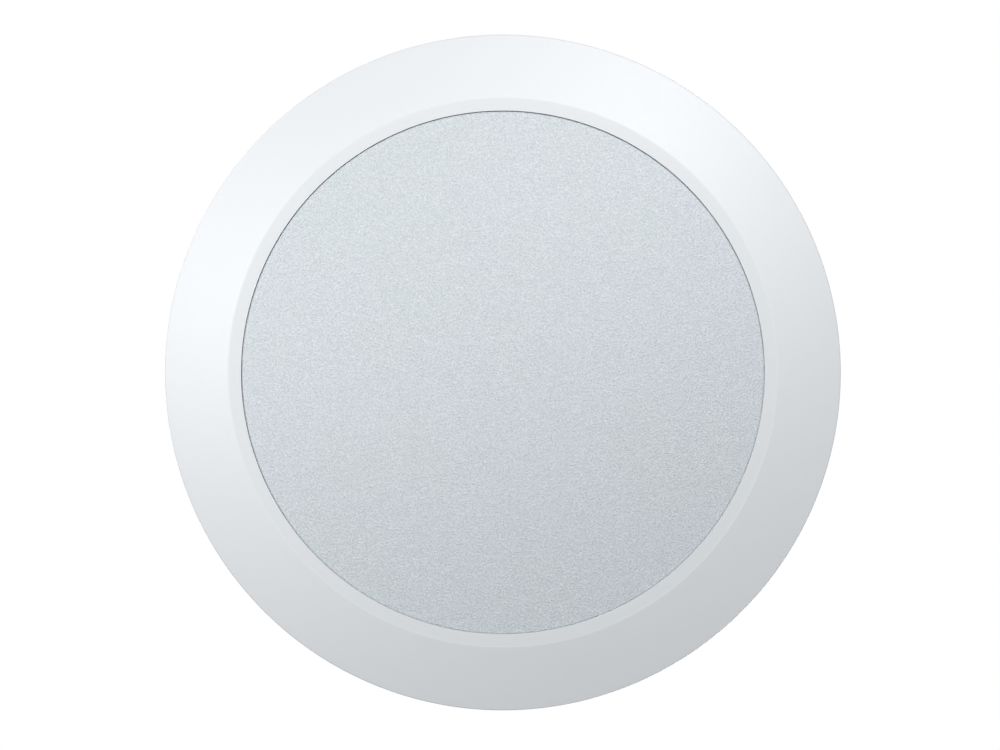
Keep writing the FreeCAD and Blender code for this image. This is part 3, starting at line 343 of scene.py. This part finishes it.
def coated_casting(name, colour, second, ring_shade_colour):
    """Satin paint, with painted shade: a slightly greyer colour on the narrow ring inside the
    ridge.
    """
    material, tree, shader = new_material(name, PAINT_ROUGHNESS)
    effect = place_group(tree, MOTTLE, Colour=colour, Second_Colour=second,
                         Patch_Scale=30.0, Grain_Scale=1500.0)
    flat = tree.nodes.new("ShaderNodeVectorMath")
    flat.operation = "MULTIPLY"
    flat.inputs[1].default_value = (1, 1, 0)
    tree.links.new(object_place(tree), flat.inputs[0])
    distance = tree.nodes.new("ShaderNodeVectorMath")
    distance.operation = "LENGTH"
    tree.links.new(flat.outputs["Vector"], distance.inputs[0])
    # Painted shade: the narrow ring inside the ridge takes the greyer colour, the rest the paint's.
    outside = spread(tree, distance.outputs["Value"], RING_SHADE_END)
    tree.links.new(blend_colours(tree, outside, ring_shade_colour, effect.outputs["Colour"]),
                   shader.inputs["Base Color"])
    grained_roughness(tree, shader, effect.outputs["Grain"], PAINT_ROUGHNESS)
    bump(tree, shader, effect.outputs["Grain"], strength=0.10, depth=0.04 * MM)
    return material


def zinc(name, colour, second, cell_scale):
    material, tree, shader = new_material(name, roughness=0.38, metallic=1.0)
    effect = place_group(tree, SPANGLE, Colour=colour, Second_Colour=second,
                         Cell_Scale=cell_scale)
    tree.links.new(effect.outputs["Colour"], shader.inputs["Base Color"])
    tree.links.new(effect.outputs["Roughness"], shader.inputs["Roughness"])
    bump(tree, shader, effect.outputs["Height"], strength=0.12, depth=0.03 * MM)
    return material


def foam(name, colour, cell_scale):
    material, tree, shader = new_material(name, roughness=0.92)
    effect = place_group(tree, PORES, Cell_Scale=cell_scale)
    # Painted shade in each pore: its middle takes a much deeper tone of the foam's colour.
    pore_shade_colour = tuple(part * PORE_SHADE_FACTOR for part in colour)
    tree.links.new(blend_colours(tree, effect.outputs["Mask"], pore_shade_colour, colour),
                   shader.inputs["Base Color"])
    bump(tree, shader, effect.outputs["Height"], strength=0.6, depth=0.12 * MM)
    return material


def frosted(name, colour, cool, green):
    material, tree, shader = new_material(name, roughness=0.42)
    effect = place_group(tree, FROSTING, Colour=colour, Cool_Tint=cool, Green_Tint=green,
                         Grain_Scale=3300.0)
    tree.links.new(effect.outputs["Colour"], shader.inputs["Base Color"])
    tree.links.new(effect.outputs["Roughness"], shader.inputs["Roughness"])
    bump(tree, shader, effect.outputs["Height"], strength=1.0, depth=0.28 * MM)
    return material


def clear_plastic(name, colour, second):
    material, tree, shader = new_material(name, roughness=0.08)
    effect = place_group(tree, MOTTLE, Colour=colour, Second_Colour=second,
                         Patch_Scale=40.0, Grain_Scale=900.0)
    tree.links.new(effect.outputs["Colour"], shader.inputs["Base Color"])
    shader.inputs["Transmission Weight"].default_value = 0.85
    shader.inputs["IOR"].default_value = 1.49
    bump(tree, shader, effect.outputs["Grain"], strength=0.05, depth=0.02 * MM)
    return material


# Each table gives what its function takes after the material's name. Moulded: colour, second
# colour, roughness, and for some the scales of patches and grain and the grain's bump.
MOULDED = {
    "silicone": ((0.74, 0.74, 0.72), (0.70, 0.70, 0.68), 0.5),
    "white_film": ((0.90, 0.90, 0.90), (0.86, 0.87, 0.88), 0.55),
    "strip_white": ((0.88, 0.88, 0.84), (0.84, 0.84, 0.80), 0.4),
    "led_chip": ((0.86, 0.72, 0.22), (0.80, 0.62, 0.18), 0.35),
    "pod_plastic": ((0.70, 0.715, 0.725), (0.675, 0.69, 0.705), 0.52,
                    45.0, 1900.0, 0.45, 0.09 * MM),
    "board_green": ((0.03, 0.16, 0.07), (0.04, 0.20, 0.09), 0.3),
    "ferrite": ((0.07, 0.07, 0.075), (0.10, 0.10, 0.105), 0.6),
    "bobbin_black": ((0.025, 0.025, 0.027), (0.035, 0.035, 0.037), 0.5),
    "tape_yellow": ((0.80, 0.58, 0.05), (0.72, 0.52, 0.05), 0.3),
    "capacitor_can": ((0.02, 0.025, 0.06), (0.03, 0.035, 0.08), 0.25),
    "capacitor_box": ((0.70, 0.52, 0.06), (0.64, 0.48, 0.06), 0.4),
    "chip_black": ((0.02, 0.02, 0.022), (0.03, 0.03, 0.032), 0.45),
    "varistor_blue": ((0.03, 0.11, 0.34), (0.04, 0.13, 0.38), 0.3),
    "fuse_brown": ((0.14, 0.05, 0.03), (0.17, 0.06, 0.035), 0.4),
    "terminal_green": ((0.05, 0.30, 0.13), (0.06, 0.34, 0.15), 0.45),
    "knob_black": ((0.02, 0.02, 0.02), (0.03, 0.03, 0.03), 0.4),
    "grommet_rubber": ((0.028, 0.028, 0.030), (0.045, 0.045, 0.048), 0.66,
                       90.0, 3200.0, 0.35, 0.08 * MM),
    "lead_red": ((0.50, 0.02, 0.02), (0.44, 0.02, 0.02), 0.3),
    "lead_black": ((0.02, 0.02, 0.02), (0.03, 0.03, 0.03), 0.3),
}
METALS = {
    "zinc_steel": ((0.62, 0.64, 0.65), (0.50, 0.52, 0.54), 420.0),
    "screw_steel": ((0.66, 0.66, 0.62), (0.56, 0.57, 0.55), 1600.0),
    "spring_steel": ((0.46, 0.47, 0.49), (0.38, 0.39, 0.41), 2400.0),
    "winding_copper": ((0.62, 0.26, 0.10), (0.50, 0.20, 0.08), 900.0),
}
SPECIAL = {
    # The third colour of white_paint is painted shade on the inner ring.
    "white_paint": (coated_casting, (0.855, 0.872, 0.890), (0.862, 0.879, 0.895),
                    (0.805, 0.832, 0.843)),
    "diffuser": (frosted, (0.728, 0.780, 0.812), (0.736, 0.777, 0.824), (0.724, 0.784, 0.805)),
    "clear_acrylic": (clear_plastic, (0.86, 0.93, 0.95), (0.90, 0.95, 0.96)),
    "black_foam": (foam, (0.070, 0.070, 0.074), 1500.0),
}
MATERIALS = {name: make(name, *look) for name, (make, *look) in SPECIAL.items()}
MATERIALS.update({name: zinc(name, *look) for name, look in METALS.items()})
MATERIALS.update({name: moulded(name, *look) for name, look in MOULDED.items()})
SLOT_OF = {entry["node"]: entry["material_slot"] for entry in frame["record"]["subparts"]}
BODY_OF = {node: body for body, members in frame["record"]["behaviour"]["bodies"].items()
           for node in members}


# ---- making and placing pieces ----

def set_material(piece, material):
    piece.data.materials.clear()
    piece.data.materials.append(material)


def finish_piece(mesh, name, node, crease):
    """Turns a bmesh into a smoothly shaded piece with the node's finish."""
    data = bpy.data.meshes.new(name)
    mesh.to_mesh(data)
    mesh.free()
    for polygon in data.polygons:
        polygon.use_smooth = True
    data.set_sharp_from_angle(angle=math.radians(crease))
    piece = bpy.data.objects.new(name, data)
    bpy.context.scene.collection.objects.link(piece)
    shading = piece.modifiers.new("face_weighted_shading", "WEIGHTED_NORMAL")
    shading.keep_sharp = True
    set_material(piece, MATERIALS[SLOT_OF[node]])
    return piece


def stand_for(piece, node):
    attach(piece, BODY_OF[node])
    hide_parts(node)


def rounded(section):
    """The (radius, z) points of a section whose corners are (radius, z, rounding or None)."""
    points = []
    places = [Vector(corner[:2]) for corner in section]
    for index, (*corner, rounding) in enumerate(section):
        if rounding is None:
            points.append(tuple(corner))
            continue
        here = places[index]
        before = (places[index - 1] - here).normalized()
        after = (places[(index + 1) % len(places)] - here).normalized()
        half = before.angle(after) / 2
        centre = here + (before + after).normalized() * (rounding / math.sin(half))
        first = (here + before * (rounding / math.tan(half)) - centre).normalized()
        last = (here + after * (rounding / math.tan(half)) - centre).normalized()
        for number in range(ROUND_SEGMENTS + 1):
            points.append(tuple(centre + first.slerp(last, number / ROUND_SEGMENTS) * rounding))
    return points


def spun(section, steps=STEPS):
    """A closed section, with its corners rounded, turned once about the light's axis."""
    mesh = bmesh.new()
    corners = [mesh.verts.new((radius, 0.0, z)) for radius, z in rounded(section)]
    edges = [mesh.edges.new((corner, corners[(index + 1) % len(corners)]))
             for index, corner in enumerate(corners)]
    bmesh.ops.spin(mesh, geom=corners + edges, cent=(0, 0, 0), axis=(0, 0, 1),
                   angle=2 * math.pi, steps=steps, use_merge=True, use_duplicate=False)
    bmesh.ops.remove_doubles(mesh, verts=mesh.verts, dist=TURNED_MERGE)
    bmesh.ops.recalc_face_normals(mesh, faces=mesh.faces)
    return mesh


def copy_of(node):
    """The node's own solid as a merged bmesh with its flat faces whole."""
    mesh = bmesh.new()
    mesh.from_mesh(nodes[node].data)
    bmesh.ops.remove_doubles(mesh, verts=mesh.verts, dist=CAD_MERGE)
    bmesh.ops.dissolve_limit(mesh, angle_limit=math.radians(FLAT_ANGLE), verts=mesh.verts,
                             edges=mesh.edges, delimit={"NORMAL"})
    return mesh


def dressed(node, width):
    """The node's solid with every sharp edge broken, as tooling and tumbling leave it."""
    mesh = copy_of(node)
    sharp = [edge for edge in mesh.edges
             if edge.is_manifold and edge.calc_face_angle(0) > math.radians(BREAK_ANGLE)]
    bmesh.ops.bevel(mesh, geom=sharp, offset=width, offset_type="OFFSET", affect="EDGES",
                    segments=BREAK_SEGMENTS, profile=0.5, material=-1, clamp_overlap=True)
    stand_for(finish_piece(mesh, node + "_piece", node, DRESSED_CREASE), node)


# ---- the light's own pieces ----

def trim_casting():
    section = [
        (APERTURE_R, RING_EDGE, 0.08 * MM),
        (RIDGE_R, RIDGE_Z, 0.30 * MM),
        (TRIM_R, RIM_Z, 0.25 * MM),
        (TRIM_R, LIP_TOP, 0.3 * MM),
        (TRIM_R - RIM_LIP, LIP_TOP, 0.25 * MM),
        (TRIM_R - RIM_LIP, CHANNEL_FLOOR, 0.2 * MM),
        (BODY_R, CHANNEL_FLOOR, 0.3 * MM),
        (BODY_R, WALL_TOP, 0.4 * MM),
        (BORE_R, WALL_TOP, 0.2 * MM),
        (BORE_R, LEDGE, None),
        (APERTURE_R, LEDGE, None),
    ]
    mesh = spun(section, TRIM_STEPS)
    stand_for(finish_piece(mesh, "trim_casting", "trim_ring", TURNED_CREASE), "trim_ring")


def diffuser():
    """A stepped plate: a flush face with a softly rolled edge, and the step on the seal."""
    section = [
        (0.0, LENS_FACE, None),
        (LENS_R, LENS_FACE, 0.14 * MM),
        (LENS_R, LENS_FACE + GROOVE_DEPTH, None),
        (GROOVE_R, LENS_FACE + GROOVE_DEPTH, None),
        (GROOVE_R, LENS_STEP_Z, None),
        (LENS_STEP_R, LENS_STEP_Z, 0.1 * MM),
        (LENS_STEP_R, LENS_BACK, 0.1 * MM),
        (0.0, LENS_BACK, None),
    ]
    mesh = spun(section)
    bmesh.ops.dissolve_degenerate(mesh, edges=mesh.edges, dist=TURNED_MERGE)
    bmesh.ops.translate(mesh, verts=mesh.verts, vec=LENS_PLAY)
    stand_for(finish_piece(mesh, "diffuser_plate", "diffuser_lens", TURNED_CREASE),
              "diffuser_lens")


def flange_gasket():
    section = [
        (GASKET_INNER_R, gasket_low.z, None),
        (gasket_high.x, gasket_low.z, None),
        (gasket_high.x, gasket_high.z, 0.25 * MM),
        (GASKET_INNER_R, gasket_high.z, 0.25 * MM),
    ]
    mesh = spun(section)
    stand_for(finish_piece(mesh, "foam_gasket", "flange_gasket", TURNED_CREASE), "flange_gasket")


def clip_spring(side):
    """The wound wire that sits between its bracket and its arm."""
    node = side + "_clip_spring"
    piece = finish_piece(copy_of(node), side + "_spring_wire", node, WIRE_CREASE)
    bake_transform(piece)
    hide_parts(node)


# How wide each node's edges are broken, millimetres.
EDGE_BREAKS = {
    "back_plate": 0.25, "back_plate_screws": 0.08, "driver_base": 0.35, "driver_cover": 0.30,
    "driver_cover_screws": 0.10, "terminal_cover": 0.30, "terminal_cover_pin": 0.20,
    "cable_grommet": 0.45, "selector_knob": 0.12, "selector_switch": 0.12,
    "terminal_block": 0.2, "cord_clamp": 0.3, "cord_clamp_screws": 0.1, "driver_board": 0.05,
}
CLIP_EDGE_BREAKS = {"bracket": 0.15, "rivets": 0.10, "pin": 0.25, "arm": 0.15, "sleeve": 0.3}
for side in ("right", "left"):
    for part, width in CLIP_EDGE_BREAKS.items():
        EDGE_BREAKS[f"{side}_clip_{part}"] = width

trim_casting()
diffuser()
flange_gasket()
clip_spring("right")
clip_spring("left")
for node, width in EDGE_BREAKS.items():
    dressed(node, width * MM)
for node, item in nodes.items():
    set_material(item, MATERIALS[SLOT_OF[node]])


# ---- floor, light and camera ----

def shown_white(tree, share):
    """The share of plain white where the camera, a gloss or a clear piece looks, else 0."""
    path = tree.nodes.new("ShaderNodeLightPath")
    seen = path.outputs["Is Camera Ray"]
    for other in ("Is Glossy Ray", "Is Transmission Ray"):
        either = tree.nodes.new("ShaderNodeMath")
        either.operation = "MAXIMUM"
        tree.links.new(seen, either.inputs[0])
        tree.links.new(path.outputs[other], either.inputs[1])
        seen = either.outputs[0]
    scaled = tree.nodes.new("ShaderNodeMath")
    scaled.operation = "MULTIPLY"
    scaled.inputs[1].default_value = share
    tree.links.new(seen, scaled.inputs[0])
    return scaled.outputs[0]


def mix_with_white(tree, share, shown, white, target):
    """Sends the shader to the target, mixed with white as shown_white says."""
    mix = tree.nodes.new("ShaderNodeMixShader")
    tree.links.new(shown_white(tree, share), mix.inputs["Fac"])
    tree.links.new(shown.outputs[0], mix.inputs[1])
    tree.links.new(white.outputs[0], mix.inputs[2])
    tree.links.new(mix.outputs[0], target.inputs["Surface"])


def floor():
    mesh = bmesh.new()
    bmesh.ops.create_grid(mesh, x_segments=1, y_segments=1, size=FLOOR_HALF)
    bmesh.ops.translate(mesh, verts=mesh.verts, vec=(0, 0, FLOOR_Z))
    data = bpy.data.meshes.new("floor")
    mesh.to_mesh(data)
    mesh.free()
    plane = bpy.data.objects.new("floor", data)
    bpy.context.scene.collection.objects.link(plane)
    material, tree, shader = new_material("pale_floor", roughness=0.8)
    effect = place_group(tree, MOTTLE, Colour=(0.80, 0.80, 0.80), Second_Colour=(0.82, 0.82, 0.82),
                         Patch_Scale=2.0, Grain_Scale=40.0)
    tree.links.new(effect.outputs["Colour"], shader.inputs["Base Color"])
    mix_with_white(tree, FLOOR_WHITE, shader, tree.nodes.new("ShaderNodeEmission"),
                   tree.nodes["Material Output"])
    set_material(plane, material)


def background(tree, colour, strength):
    node = tree.nodes.new("ShaderNodeBackground")
    node.inputs["Color"].default_value = colour
    node.inputs["Strength"].default_value = strength
    return node


def surroundings():
    """A soft pale room whose background shows white."""
    world = bpy.data.worlds.new("studio")
    bpy.context.scene.world = world
    world.use_nodes = True
    tree = world.node_tree
    tree.nodes.clear()
    mix_with_white(tree, 1.0, background(tree, ROOM_COLOUR, ROOM_LIGHT),
                   background(tree, WHITE, 1.0), tree.nodes.new("ShaderNodeOutputWorld"))


def lamp(name, place, size, power):
    """A round lamp that faces the light's middle and isn't seen itself."""
    light = bpy.data.lights.new(name, "AREA")
    light.shape = "DISK"
    light.size = size
    light.energy = power
    item = bpy.data.objects.new(name, light)
    item.location = place
    item.rotation_euler = (-Vector(place)).to_track_quat("-Z", "Y").to_euler()
    item.visible_camera = False
    bpy.context.scene.collection.objects.link(item)


def camera():
    """Faces the light squarely from below, with the flange where the photograph has it."""
    scale = 2 * TRIM_R / FLANGE_DIAMETER_PX
    data = bpy.data.cameras.new("photo_camera")
    data.sensor_width = SENSOR_WIDTH_MM
    data.lens = SENSOR_WIDTH_MM * (CAMERA_DISTANCE + RIM_Z) / (scale * PHOTO_WIDTH)
    item = bpy.data.objects.new("photo_camera", data)
    right = (FLANGE_CENTRE_X - PHOTO_WIDTH / 2) * scale
    up = (PHOTO_HEIGHT / 2 - FLANGE_CENTRE_Y) * scale
    item.location = (right, -up, -CAMERA_DISTANCE)
    item.rotation_euler = (0, math.pi, 0)
    bpy.context.scene.collection.objects.link(item)
    bpy.context.scene.camera = item


floor()
surroundings()
for name, place, size, power in LAMPS:
    lamp(name, place, size, power)
camera()
bpy.context.scene.view_settings.view_transform = "Standard"
